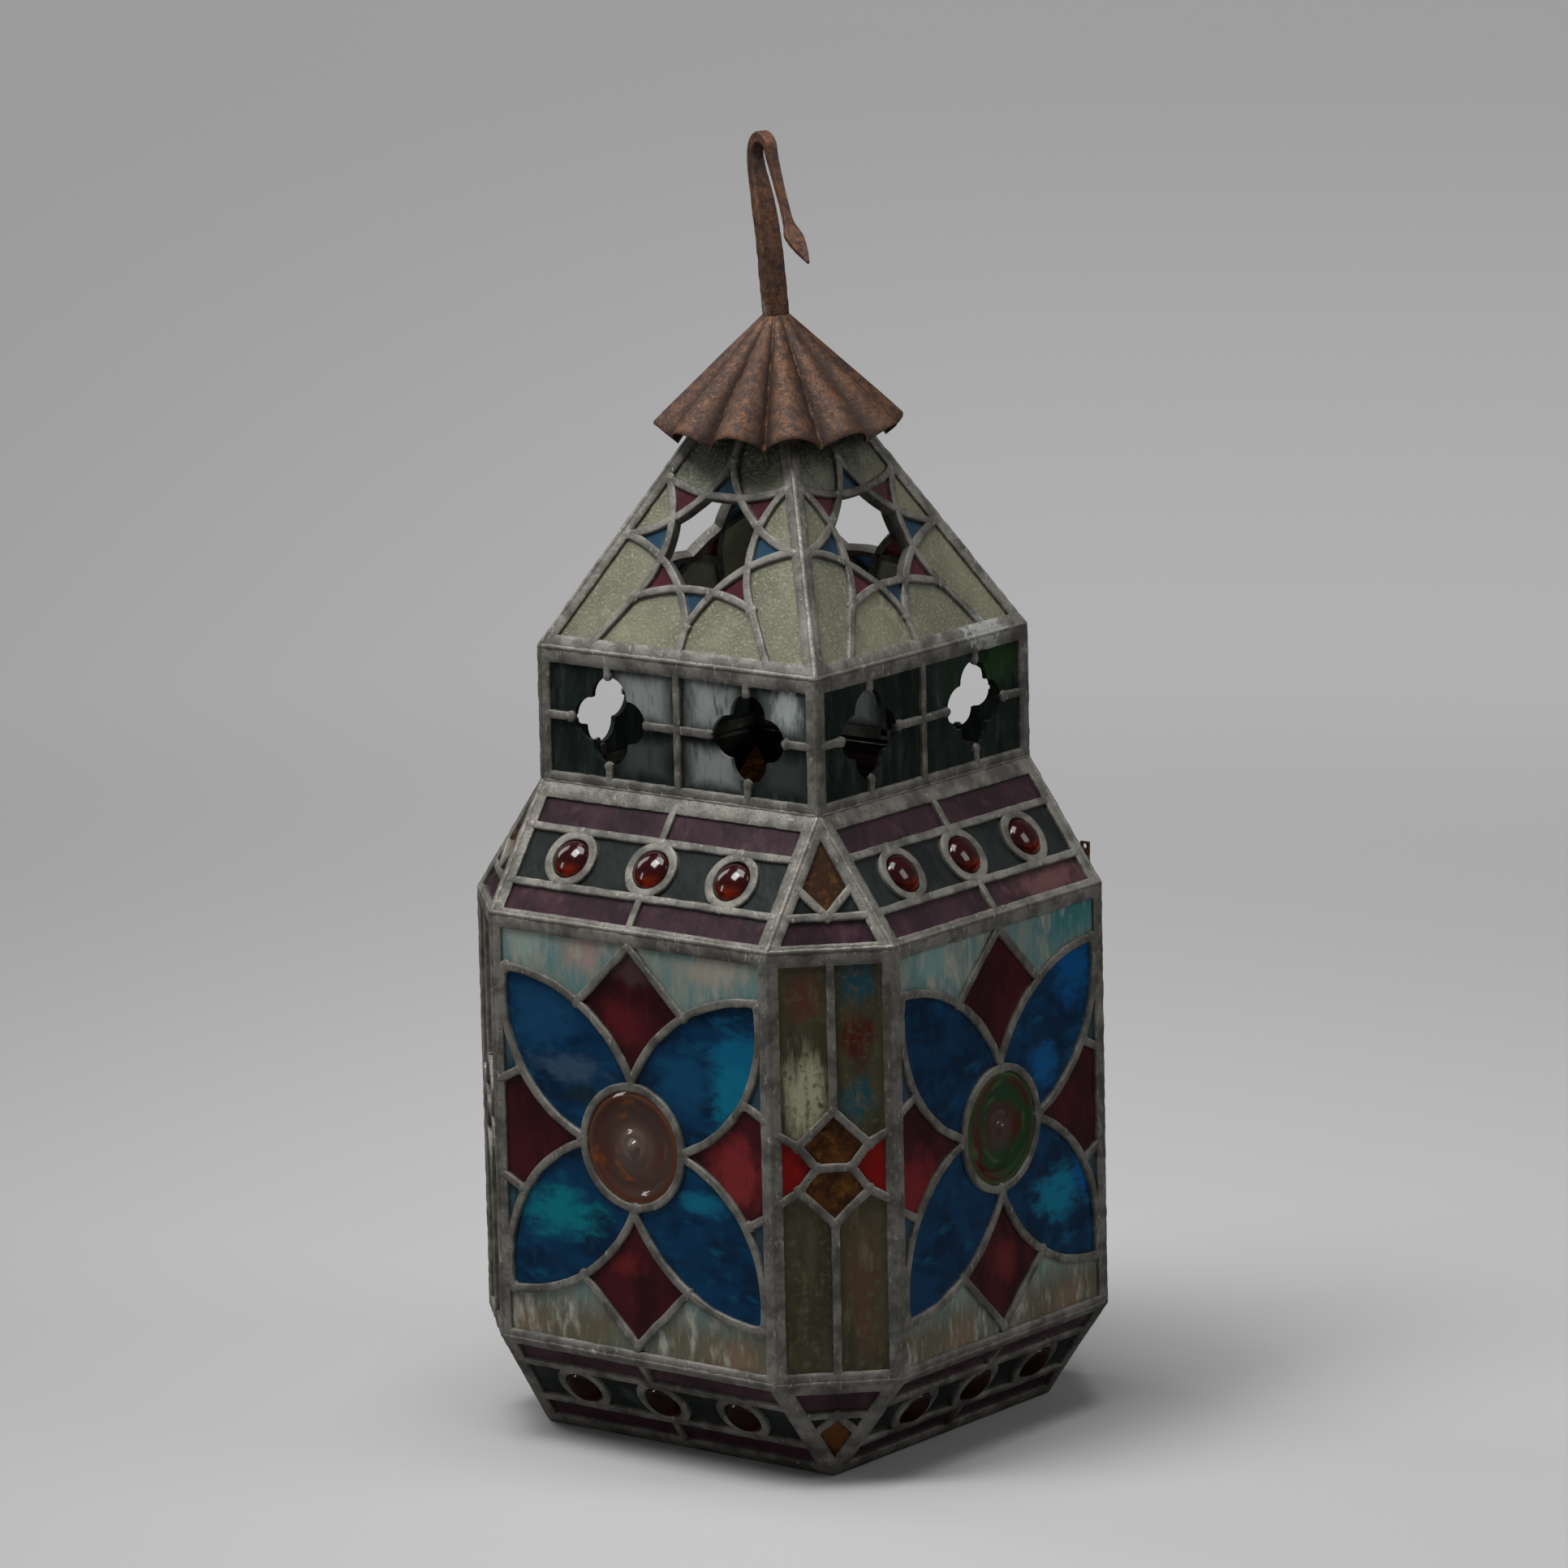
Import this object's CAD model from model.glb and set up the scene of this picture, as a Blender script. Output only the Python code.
"""Looks of the leaded glass candle lantern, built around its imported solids.

Sizes are in millimetres until a mesh is made. Every panel is worked in its own plane: x runs
across it, v runs up its slope, and out is the height above its outer face.
"""

from __future__ import annotations

import logging
import math
import random
from dataclasses import dataclass, field, replace
from enum import Enum
from itertools import product
from typing import Any, Callable, Sequence

import bpy
import numpy as np
from mathutils import Matrix, Vector, noise

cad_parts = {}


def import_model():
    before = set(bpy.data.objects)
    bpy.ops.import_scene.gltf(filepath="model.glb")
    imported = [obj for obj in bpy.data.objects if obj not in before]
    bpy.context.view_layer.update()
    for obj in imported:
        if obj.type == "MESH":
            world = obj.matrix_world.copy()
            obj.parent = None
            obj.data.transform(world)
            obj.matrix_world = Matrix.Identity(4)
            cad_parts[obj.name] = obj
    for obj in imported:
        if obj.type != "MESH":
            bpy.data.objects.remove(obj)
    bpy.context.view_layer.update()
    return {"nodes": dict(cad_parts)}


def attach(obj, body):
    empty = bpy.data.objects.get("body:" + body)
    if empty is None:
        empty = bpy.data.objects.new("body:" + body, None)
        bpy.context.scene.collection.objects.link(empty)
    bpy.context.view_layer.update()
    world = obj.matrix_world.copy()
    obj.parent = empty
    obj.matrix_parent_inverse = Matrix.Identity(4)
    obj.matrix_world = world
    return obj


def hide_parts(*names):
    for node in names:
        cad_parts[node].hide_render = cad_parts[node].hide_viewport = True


LOG = logging.getLogger("lantern")
MM = 0.001  # one millimetre, in metres
STEP = 2.5  # length of one step along a came, in millimetres
SODA_LIME_IOR = 1.52  # all of the lantern's glass is soda-lime glass
GLASS_DEPTH = 1.5  # how deep spun and pressed glass sits under the lead's face
RONDEL_R = 34.15
JEWEL_R = 12.0
HEADING = 37.867  # direction of the camera from the front, in degrees
Flat = tuple[float, float]
Triple = tuple[float, float, float]
Mask = tuple[Any, float, float]


class Side(Enum):
    """The four wide sides, with their turn about the axis in degrees."""

    FRONT = 0
    RIGHT = 90
    BACK = 180
    LEFT = 270

    @property
    def label(self) -> str:
        """The side's name as the solids write it."""
        return self.name.lower()


class Corner(Enum):
    """The four narrow sides, with their turn about the axis in degrees."""

    FRONT_RIGHT = 45
    BACK_RIGHT = 135
    BACK_LEFT = 225
    FRONT_LEFT = 315

    @property
    def label(self) -> str:
        """The corner's name as the solids write it."""
        return self.name.lower()


DOOR = Side.BACK
BEFORE_DOOR = Side.RIGHT


@dataclass(frozen=True)
class Patch:
    """A soft-edged place on the glass or the lead with a colour of its own, in millimetres."""

    place: Triple
    size: Triple
    tone: str
    square: bool = False


# ---- colour and node helpers ----


def srgb(code: str) -> tuple[float, float, float, float]:
    """Turns an sRGB hex colour to linear.

    Args:
        code: the colour, such as "#6f6c67".

    Returns:
        Linear red, green and blue, and an alpha of 1.
    """
    parts = [int(code[i : i + 2], 16) / 255 for i in (1, 3, 5)]
    line = [p / 12.92 if p <= 0.04045 else ((p + 0.055) / 1.055) ** 2.4 for p in parts]
    return (line[0], line[1], line[2], 1.0)


def add_node(
    tree: bpy.types.NodeTree,
    kind: str,
    values: dict[str | int, Any] | None = None,
    links: dict[str | int, Any] | None = None,
    **settings: Any,
) -> bpy.types.Node:
    """Adds one node with its settings, its socket values and its links.

    Args:
        tree: the material's node tree.
        kind: the node's type.
        values: input socket name or number to a plain value.
        links: input socket name or number to the output that feeds it.
        settings: the node's own properties.

    Returns:
        The new node.
    """
    node = tree.nodes.new(kind)
    for key, value in settings.items():
        setattr(node, key, value)
    for key, value in (values or {}).items():
        node.inputs[key].default_value = value
    for key, output in (links or {}).items():
        tree.links.new(output, node.inputs[key])
    return node


class NodeWork:
    """A material with a Principled shader, and the few patterns that the finishes share."""

    def __init__(self, name: str, **sockets: float) -> None:
        """Starts a material.

        Args:
            name: the material's name.
            sockets: plain values of the shader, with _ for a space in the socket's name.
        """
        self.material = bpy.data.materials.new(name)
        self.material.use_nodes = True
        self.tree = self.material.node_tree
        self.shader = self.tree.nodes["Principled BSDF"]
        for key, value in sockets.items():
            self.shader.inputs[key.replace("_", " ")].default_value = value
        self.place = self.add("ShaderNodeTexCoord", output="Object")

    def add(
        self, kind: str, values: Any = None, links: Any = None, output: str | int = 0, **settings: Any
    ) -> Any:
        """Adds a node to this material, as add_node does, and gives one of its outputs."""
        return add_node(self.tree, kind, values, links, **settings).outputs[output]

    def feed(self, output: Any, socket: str) -> None:
        """Links an output to a socket of the shader."""
        self.tree.links.new(output, self.shader.inputs[socket])

    def grain(
        self,
        size_mm: float,
        detail: float = 3.0,
        rough: float = 0.55,
        stretch: Triple | None = None,
        at: Any = None,
    ) -> Any:
        """Gives noise whose lumps are about size_mm across.

        Args:
            size_mm: size of a lump.
            detail: number of finer layers.
            rough: weight of the finer layers.
            stretch: how tightly it lies along each axis, if not evenly.
            at: the place to read it at, if not the one on the piece.

        Returns:
            The noise's value output.
        """
        place = at or self.place
        if stretch:
            place = self.add("ShaderNodeMapping", {"Scale": stretch}, {"Vector": place})
        values = {"Scale": 1 / (size_mm * MM), "Detail": detail, "Roughness": rough}
        return self.add("ShaderNodeTexNoise", values, {"Vector": place})

    def share(self, *masks: Mask, most: float = 1.0) -> Any:
        """Gives how far all of the masks are on together.

        Args:
            masks: for each its value output, the level that gives 0 and the level that gives 1.
            most: what they give at their fullest.

        Returns:
            The output, from 0 to most.
        """
        product = None
        for value, none, full in masks:
            limits = {"From Min": none, "From Max": full, "To Max": most if product is None else 1.0}
            mask = self.add("ShaderNodeMapRange", limits, {"Value": value}, interpolation_type="SMOOTHSTEP")
            if product is None:
                product = mask
            else:
                product = self.add("ShaderNodeMath", None, {0: product, 1: mask}, operation="MULTIPLY")
        return product

    def cover(self, below: Any, above: Any, *masks: Mask, most: float = 1.0) -> Any:
        """Lays one colour over another where all of the masks are on.

        Args:
            below: the colour underneath, a hex code or an output.
            above: the colour on top, a hex code or an output.
            masks: where the upper one shows, as share takes them.
            most: how well it covers at its fullest.

        Returns:
            The colour output.
        """
        values, links = {}, {0: self.share(*masks, most=most)}
        for socket, tone in ((6, below), (7, above)):
            if isinstance(tone, str):
                values[socket] = srgb(tone)
            else:
                links[socket] = tone
        return self.add("ShaderNodeMix", values, links, output=2, data_type="RGBA")

    def farthest(self, vector: Any) -> Any:
        """Gives the largest of a vector's three parts, whatever their signs.

        Args:
            vector: the vector's output.

        Returns:
            The value output.
        """
        plain = self.add("ShaderNodeVectorMath", None, {0: vector}, operation="ABSOLUTE")
        split = add_node(self.tree, "ShaderNodeSeparateXYZ", None, {0: plain}).outputs
        wide = self.add("ShaderNodeMath", None, {0: split[0], 1: split[1]}, operation="MAXIMUM")
        return self.add("ShaderNodeMath", None, {0: wide, 1: split[2]}, operation="MAXIMUM")

    def from_axis(self) -> tuple[Any, Any]:
        """Gives the place flattened on the ground, and its distance from the Z axis."""
        flat = self.add("ShaderNodeVectorMath", {1: (1, 1, 0)}, {0: self.place}, operation="MULTIPLY")
        return flat, self.add("ShaderNodeVectorMath", None, {0: flat}, "Value", operation="LENGTH")

    def patched(
        self, tone: Any, patches: Sequence[Patch], fray: Any, frayed: float = 1.6, soft: float = 0.7
    ) -> Any:
        """Lays patches over a colour, their edges broken up by a noise.

        Args:
            tone: the colour's output.
            patches: the patches.
            fray: the noise's output.
            frayed: how far the noise moves an edge, as a share of the patch.
            soft: how wide an edge is, as a share of the patch.

        Returns:
            The colour with its patches.
        """
        for patch in patches:
            centre = tuple(-c / s for c, s in zip(patch.place, patch.size))
            fit = {"Location": centre, "Scale": tuple(1 / (s * MM) for s in patch.size)}
            shift = self.add("ShaderNodeMapping", fit, {"Vector": self.place})
            if patch.square:
                fringe, away = frayed / 4, self.farthest(shift)
            else:
                fringe = frayed
                away = self.add("ShaderNodeVectorMath", None, {0: shift}, "Value", operation="LENGTH")
            edge = self.add("ShaderNodeMath", {1: fringe}, {0: fray, 2: away}, operation="MULTIPLY_ADD")
            tone = self.cover(tone, patch.tone, (edge, 1.0 + fringe / 2, 1.0 - soft + fringe / 2))
        return tone

    def roughness(self, value: Any, low: float, high: float) -> None:
        """Feeds the shader's roughness, from low to high as the value goes from 0 to 1."""
        spread = self.add("ShaderNodeMapRange", {"To Min": low, "To Max": high}, {"Value": value})
        self.feed(spread, "Roughness")

    def finish(self, tone: Any, relief: Sequence[tuple[Any, float]]) -> bpy.types.Material:
        """Feeds the shader its colour, and its normal from bumps laid over each other.

        Args:
            tone: the colour's output.
            relief: each bump's height output and its depth in millimetres.

        Returns:
            The finished material.
        """
        self.feed(tone, "Base Color")
        before = None
        for height, depth in relief:
            links = {"Height": height} | ({"Normal": before} if before else {})
            before = self.add("ShaderNodeBump", {"Strength": 1.0, "Distance": depth * MM}, links)
        self.feed(before, "Normal")
        return self.material


# ---- finishes ----


@dataclass(frozen=True)
class CastLead:
    """Drawn lead came, oxidised grey and dressed with a flat tool."""

    name: str
    body: str
    shade: str
    bare: str
    roughness: float
    metallic: float = 0.35
    crust: tuple[Patch, ...] = ()

    def build(self) -> bpy.types.Material:
        """Makes the material: blotched oxide, fine bare scratches and tool marks.

        Returns:
            The material.
        """
        work = NodeWork(self.name, Metallic=self.metallic)
        # real scratches and pits are well under a millimetre: these are drawn coarser, so that they show
        strokes = work.grain(3.0, 5, 0.72, (1.0, 1.0, 0.4))
        pits = (work.grain(1.5, 3, 0.6), 0.6, 0.7)
        tone = work.cover(self.shade, self.body, (work.grain(16, 5, 0.6), 0.36, 0.64))
        tone = work.cover(tone, self.bare, (strokes, 0.57, 0.72))
        tone = work.cover(tone, self.shade, pits)
        tone = work.patched(tone, self.crust, work.grain(5, 5, 0.7), 2.6, 0.5)
        work.roughness(strokes, self.roughness - 0.06, self.roughness + 0.2)
        return work.finish(tone, [(work.grain(8, 3), 0.7), (strokes, 0.3), (work.share(pits), -0.15)])


@dataclass(frozen=True)
class RustedIron:
    """Sheet or forged iron under an even coat of old brown rust."""

    name: str
    body: str
    dark: str
    bloom: str
    bare: str
    bare_share: float = 0.12
    flutes: int = 0
    crust: tuple[Patch, ...] = ()

    def build(self) -> bpy.types.Material:
        """Makes the material: brown rust, orange specks, dark patches and rubbed metal.

        Returns:
            The material.
        """
        work = NodeWork(self.name, Metallic=0.3)
        # real rust grains are about 0.2 mm: specks and grit are drawn coarser, so that they show
        speck = work.grain(3.2, 6, 0.8)
        grit = (work.grain(2.2, 5, 0.8), 0.46, 0.57)
        tone = work.cover(self.dark, self.body, (work.grain(7, 6, 0.78), 0.4, 0.6))
        tone = work.cover(tone, self.bloom, (speck, 0.49, 0.62), (work.grain(18, 3), 0.4, 0.58))
        if self.flutes:
            tone = self.folds(work, tone)
        rubbed = work.grain(4, 5, 0.72, (1.0, 1.0, 0.5))
        tone = work.cover(tone, self.bare, (rubbed, 0.76 - self.bare_share, 0.84))
        tone = work.patched(tone, self.crust, speck)
        tone = work.cover(tone, self.dark, grit, (work.grain(9, 4, 0.6), 0.3, 0.7))
        work.roughness(speck, 0.4, 0.7)
        return work.finish(tone, [(work.grain(8, 3), 0.5), (speck, 0.3), (work.share(grit), -0.08)])

    def folds(self, work: NodeWork, tone: Any) -> Any:
        """Darkens the flanks of the valleys between the flutes and rubs the creases pale.

        Args:
            work: the material in hand.
            tone: the colour's output.

        Returns:
            The colour with its folds.
        """
        split = add_node(work.tree, "ShaderNodeSeparateXYZ", None, {0: work.place}).outputs
        turn = work.add("ShaderNodeMath", None, {0: split[1], 1: split[0]}, operation="ARCTAN2")
        wave = work.add("ShaderNodeMath", {1: self.flutes / 2}, {0: turn}, operation="MULTIPLY")
        lift = work.add("ShaderNodeMath", None, {0: wave}, operation="SINE")
        crest = work.add("ShaderNodeMath", None, {0: lift}, operation="ABSOLUTE")
        tone = work.cover(tone, self.dark, (crest, 0.75, 0.15), (work.grain(9, 4), 0.22, 0.52))
        return work.cover(tone, self.bare, (crest, 0.16, 0.04), (work.grain(9, 4), 0.4, 0.6))


class Figure(Enum):
    """How a sheet of glass was made, as its ripple size and depth in millimetres."""

    SMOOTH = (30.0, 0.3)
    WAVY = (12.0, 0.5)
    HAMMERED = (4.5, 0.55)
    GRANULAR = (1.7, 0.4)


@dataclass(frozen=True)
class SheetGlass:
    """Rolled coloured sheet glass, streaked with a second and a third colour."""

    name: str
    tint: str
    streak: str
    light: str
    figure: Figure
    streak_mm: float = 34.0
    stretch: Triple = (1.0, 1.0, 0.6)
    light_from: float = 0.56
    clearness: float = 0.45
    roughness: float = 0.06
    speckle: str = ""
    wisps: float = 0.55
    patches: tuple[Patch, ...] = ()

    def build(self) -> bpy.types.Material:
        """Makes the material: a clear body colour with streaks and a rolled surface.

        Returns:
            The material.
        """
        work = NodeWork(self.name, IOR=SODA_LIME_IOR, Transmission_Weight=self.clearness)
        wide, lean, wispy = self.streak_mm, self.streak_mm * 0.62, self.streak_mm * 0.22
        tone = work.cover(self.tint, self.streak, (work.grain(wide, 3, 0.5, self.stretch), 0.4, 0.6))
        tone = work.patched(tone, self.patches, work.grain(self.streak_mm * 0.4, 5, 0.65, self.stretch))
        pale = (work.grain(lean, 4, 0.6, self.stretch), self.light_from, self.light_from + 0.2)
        tone = work.cover(tone, self.light, pale)
        drawn = (work.grain(wispy, 5, 0.7, (self.stretch[0], self.stretch[1], 0.3)), 0.5, 0.78)
        tone = work.cover(tone, self.light, drawn, most=self.wisps)
        size, depth = self.figure.value
        ripple = work.grain(size, 2, 0.5)
        if self.speckle:
            tone = work.cover(tone, self.speckle, (ripple, 0.5, 0.76))
        work.roughness(ripple, self.roughness, self.roughness + 0.05)
        return work.finish(tone, [(work.grain(60, 1), 0.6), (ripple, depth)])


@dataclass(frozen=True)
class SpunGlass:
    """A spun disc of glass, its colour drawn out from the middle to a rolled rim."""

    name: str
    middle: str
    field_tone: str
    streak: str
    rim: str
    clearness: float = 0.4

    def build(self) -> bpy.types.Material:
        """Makes the material: round draw lines, streaks and a brighter rolled rim.

        Returns:
            The material.
        """
        work = NodeWork(self.name, IOR=SODA_LIME_IOR, Transmission_Weight=self.clearness, Roughness=0.03)
        flat, away = work.from_axis()
        slow = work.add("ShaderNodeVectorMath", {1: (0.55, 0.55, 0.0)}, {0: flat}, operation="MULTIPLY")
        split = add_node(work.tree, "ShaderNodeSeparateXYZ", None, {0: slow}).outputs
        ringed = work.add("ShaderNodeCombineXYZ", None, {0: split[0], 1: split[1], 2: away})
        tone = work.cover(self.field_tone, self.streak, (work.grain(15, 4, 0.5, at=ringed), 0.42, 0.58))
        tone = work.cover(tone, self.rim, (work.grain(9, 3, 0.5, at=ringed), 0.54, 0.7))
        tone = work.cover(tone, self.middle, (away, 20 * MM, 3 * MM))
        tone = work.cover(tone, self.rim, (away, (RONDEL_R - 6) * MM, (RONDEL_R - 0.5) * MM))
        return work.finish(tone, [(work.grain(16, 2), 0.4)])


@dataclass(frozen=True)
class PressedJewel:
    """A pressed glass cabochon: deep red, paler and orange where its dome thins."""

    name: str
    core: str
    glow: str

    def build(self) -> bpy.types.Material:
        """Makes the material: a dark core and an orange lower edge.

        Returns:
            The material.
        """
        work = NodeWork(self.name, IOR=SODA_LIME_IOR, Transmission_Weight=0.08, Roughness=0.11)
        split = add_node(work.tree, "ShaderNodeSeparateXYZ", None, {0: work.place}).outputs
        reach = JEWEL_R * MM
        low = (split["Y"], -0.15 * reach, -1.0 * reach)
        side = (split["X"], -1.1 * reach, 0.5 * reach)
        tone = work.cover(self.core, self.glow, low, side, (work.grain(6, 2), 0.3, 0.6))
        return work.finish(tone, [(work.grain(9, 1), 0.12)])


@dataclass(frozen=True)
class StudioFloor:
    """A matt grey studio floor that takes the shadow and runs out into an even backdrop."""

    name: str
    near: str
    far: str
    side: str
    mirrored: str
    heading: float

    def build(self) -> bpy.types.Material:
        """Makes the material: lit by the lamps near the lantern, its own even tone further out.

        Returns:
            The material.
        """
        work = NodeWork(self.name, Roughness=0.9, Specular_IOR_Level=0.0)
        flat, away = work.from_axis()
        turn = {"Rotation": (0, 0, -math.radians(self.heading))}
        turned = work.add("ShaderNodeMapping", turn, {"Vector": flat})
        across = work.add("ShaderNodeSeparateXYZ", None, {0: turned}, "X")
        path = add_node(work.tree, "ShaderNodeLightPath").outputs
        rays = {0: path["Is Camera Ray"], 1: path["Is Transmission Ray"]}
        seen = work.add("ShaderNodeMath", None, rays, operation="ADD")
        outer = (away, 0.9, 2.4)
        glow = work.cover(self.near, self.far, (away, 0.9, 7.0))
        work.feed(work.cover(glow, self.side, (across, 0.3, -1.3), (away, 0.5, 2.0)), "Emission Color")
        work.feed(work.share((seen, 0.0, 1.0), outer), "Emission Strength")
        lit = work.cover(self.near, self.side, (across, 0.1, -1.0))
        lit = work.cover(lit, self.mirrored, (path["Is Glossy Ray"], 0.0, 1.0))
        work.feed(work.cover(lit, "#000000", outer), "Base Color")
        return work.material


# ---- geometry helpers ----


@dataclass(frozen=True)
class Panel:
    """A flat panel: radius and height of its bottom and top edges, and its turn in degrees."""

    low_r: float
    low_z: float
    high_r: float
    high_z: float
    turn: float = 0.0

    @property
    def length(self) -> float:
        """Length of the panel up its slope."""
        return math.hypot(self.high_r - self.low_r, self.high_z - self.low_z)

    def turned(self, turn: float) -> Panel:
        """The same panel on another side."""
        return replace(self, turn=turn)

    def basis(self) -> tuple[Vector, Vector, Vector, Vector]:
        """Works out how the panel lies.

        Returns:
            Its foot, and its three directions: across, up the slope and outwards.
        """
        spin = Matrix.Rotation(math.radians(self.turn), 3, "Z")
        lean, rise = (self.low_r - self.high_r) / self.length, (self.high_z - self.low_z) / self.length
        foot = spin @ Vector((0, -self.low_r, self.low_z))
        return foot, spin @ Vector((1, 0, 0)), spin @ Vector((0, lean, rise)), spin @ Vector((0, -rise, lean))

    def point(self, x: float, v: float, out: float = 0.0) -> Vector:
        """Gives a place on the panel in the lantern's own millimetres."""
        foot, across, up, outward = self.basis()
        return foot + across * x + up * v + outward * out

    def seat(self, x: float, v: float, out: float = 0.0) -> Matrix:
        """Gives the matrix that lays a piece on the panel with its Z outwards.

        Args:
            x: the place across the panel.
            v: the place up the panel.
            out: its height above the outer face.

        Returns:
            The matrix, in metres.
        """
        _, across, up, outward = self.basis()
        turn = Matrix((across, up, outward)).transposed().to_4x4()
        return Matrix.Translation(self.point(x, v, out) * MM) @ turn


class MeshDraft:
    """The vertices and faces of one piece, in millimetres."""

    def __init__(self) -> None:
        """Starts empty."""
        self.verts: list[Vector] = []
        self.faces: list[tuple[int, ...]] = []
        self.slots: list[int] = []

    def loft(self, rings: Sequence[Sequence[Vector]], slot: int = 0, loop: bool = False) -> None:
        """Skins a row of closed rings, with flat ends unless it loops.

        Args:
            rings: rings of equal size.
            slot: the material slot of the faces.
            loop: whether the last ring joins the first.
        """
        start, size, count = len(self.verts), len(rings[0]), len(rings)
        for ring in rings:
            self.verts.extend(ring)
        for i in range(count if loop else count - 1):
            here, there = start + i * size, start + (i + 1) % count * size
            for j in range(size):
                k = (j + 1) % size
                self.face((here + j, here + k, there + k, there + j), slot)
        if not loop:
            self.face(tuple(start + j for j in reversed(range(size))), slot)
            self.face(tuple(start + (count - 1) * size + j for j in range(size)), slot)

    def face(self, corners: tuple[int, ...], slot: int = 0) -> None:
        """Adds one face."""
        self.faces.append(corners)
        self.slots.append(slot)

    def dome(self, panel: Panel, place: Flat, r: float, high: float, slot: int, rng: random.Random) -> None:
        """Adds a closed low blob on a panel, such as a drop of solder.

        Args:
            panel: the panel that it stands on.
            place: middle of its foot, across the panel and up it.
            r: its radius.
            high: its height.
            slot: its material slot.
            rng: gives its small unevenness.
        """
        _, across, up, outward = panel.basis()
        centre, sides, steps = panel.point(*place), 12, 3
        lobes = [r * rng.uniform(0.82, 1.12) for _ in range(sides)]
        rings = []
        for k in range(steps + 1):
            turn = math.pi / 2 * k / (steps + 0.6)
            lift = outward * high * (math.sin(turn) - (1.4 if k == 0 else 0))
            rings.append([
                centre + (across * math.cos(t) + up * math.sin(t)) * lobe * math.cos(turn) + lift
                for t, lobe in zip(angles(sides), lobes)
            ])
        self.loft(rings, slot)

    def build(
        self, name: str, materials: Sequence[bpy.types.Material], flat_from: float = 50.0
    ) -> bpy.types.Object:
        """Makes the object.

        Args:
            name: the piece's name.
            materials: its material slots.
            flat_from: edges that turn more than this many degrees stay sharp.

        Returns:
            The new object, linked to the scene.
        """
        mesh = bpy.data.meshes.new(name)
        mesh.from_pydata([v * MM for v in self.verts], [], self.faces)
        for polygon, slot in zip(mesh.polygons, self.slots):
            polygon.material_index = slot
            polygon.use_smooth = True
        mesh.set_sharp_from_angle(angle=math.radians(flat_from))
        mesh.validate()
        for material in materials:
            mesh.materials.append(material)
        piece = bpy.data.objects.new(name, mesh)
        bpy.context.collection.objects.link(piece)
        return piece


def wander(at: Vector, size: float) -> float:
    """Gives smooth noise from -1 to 1 whose lumps are about size millimetres across."""
    return noise.noise(at / size)


def inset(outline: Sequence[Flat], margins: Sequence[float]) -> list[Flat]:
    """Moves each side of a convex outline inwards by its own distance.

    Args:
        outline: corners, anticlockwise.
        margins: the distance of each side, where side i starts at corner i.

    Returns:
        The corners of the smaller outline.
    """
    corners = []
    count = len(outline)
    for i in range(count):
        lines = []
        for j in ((i - 1) % count, i):
            a, b = Vector(outline[j]), Vector(outline[(j + 1) % count])
            along = (b - a).normalized()
            lines.append((a + Vector((-along.y, along.x)) * margins[j], along))
        (a, u), (b, v) = lines
        cross = u.x * v.y - u.y * v.x
        reach = ((b.x - a.x) * v.y - (b.y - a.y) * v.x) / cross
        hit = a + u * reach
        corners.append((hit.x, hit.y))
    return corners


def inside(outline: Sequence[Flat], x: float, v: float) -> bool:
    """Says whether a place is inside a convex outline.

    Args:
        outline: corners, anticlockwise.
        x: the place across the panel.
        v: the place up the panel.

    Returns:
        True if it is inside or on the edge.
    """
    count = len(outline)
    for i in range(count):
        (ax, ay), (bx, by) = outline[i], outline[(i + 1) % count]
        if (bx - ax) * (v - ay) - (by - ay) * (x - ax) < 0:
            return False
    return True


def straight(a: Flat, b: Flat) -> list[Flat]:
    """Gives points from a to b about STEP apart."""
    last = max(1, round(math.dist(a, b) / STEP))
    return [(a[0] + (b[0] - a[0]) * i / last, a[1] + (b[1] - a[1]) * i / last) for i in range(last + 1)]


def bowed(a: Flat, b: Flat, sag: float) -> list[Flat]:
    """Gives points of an arc that bows to the left of its direction.

    Args:
        a: where it starts.
        b: where it ends.
        sag: how far its middle stands off the straight line.

    Returns:
        The points, about STEP apart.
    """
    chord = math.dist(a, b)
    radius = (chord * chord / 4 + sag * sag) / (2 * sag)
    left = Vector((a[1] - b[1], b[0] - a[0])).normalized()
    centre = (Vector(a) + Vector(b)) / 2 + left * (sag - radius)
    half = math.asin(chord / 2 / radius)
    top = math.atan2(left.y, left.x)
    count = max(6, round(2 * half * radius / STEP))
    turns = [top + half - 2 * half * i / (count - 1) for i in range(count)]
    line = [(centre.x + radius * math.cos(t), centre.y + radius * math.sin(t)) for t in turns]
    return line if math.dist(line[0], a) < math.dist(line[-1], a) else line[::-1]


def angles(count: int) -> list[float]:
    """Gives the angles, in radians, of count points spread round a circle."""
    return [math.tau * i / count for i in range(count)]


def circle(x: float, v: float, r: float, count: int = 72) -> list[Flat]:
    """Gives the points of a circle on a panel."""
    return [(x + r * math.cos(t), v + r * math.sin(t)) for t in angles(count)]


def ring_about_z(r: float, z: float, count: int) -> list[Vector]:
    """Gives the points of a level circle about the Z axis."""
    return [Vector((r * math.cos(t), r * math.sin(t), z)) for t in angles(count)]


# ---- leaded panels ----


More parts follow.
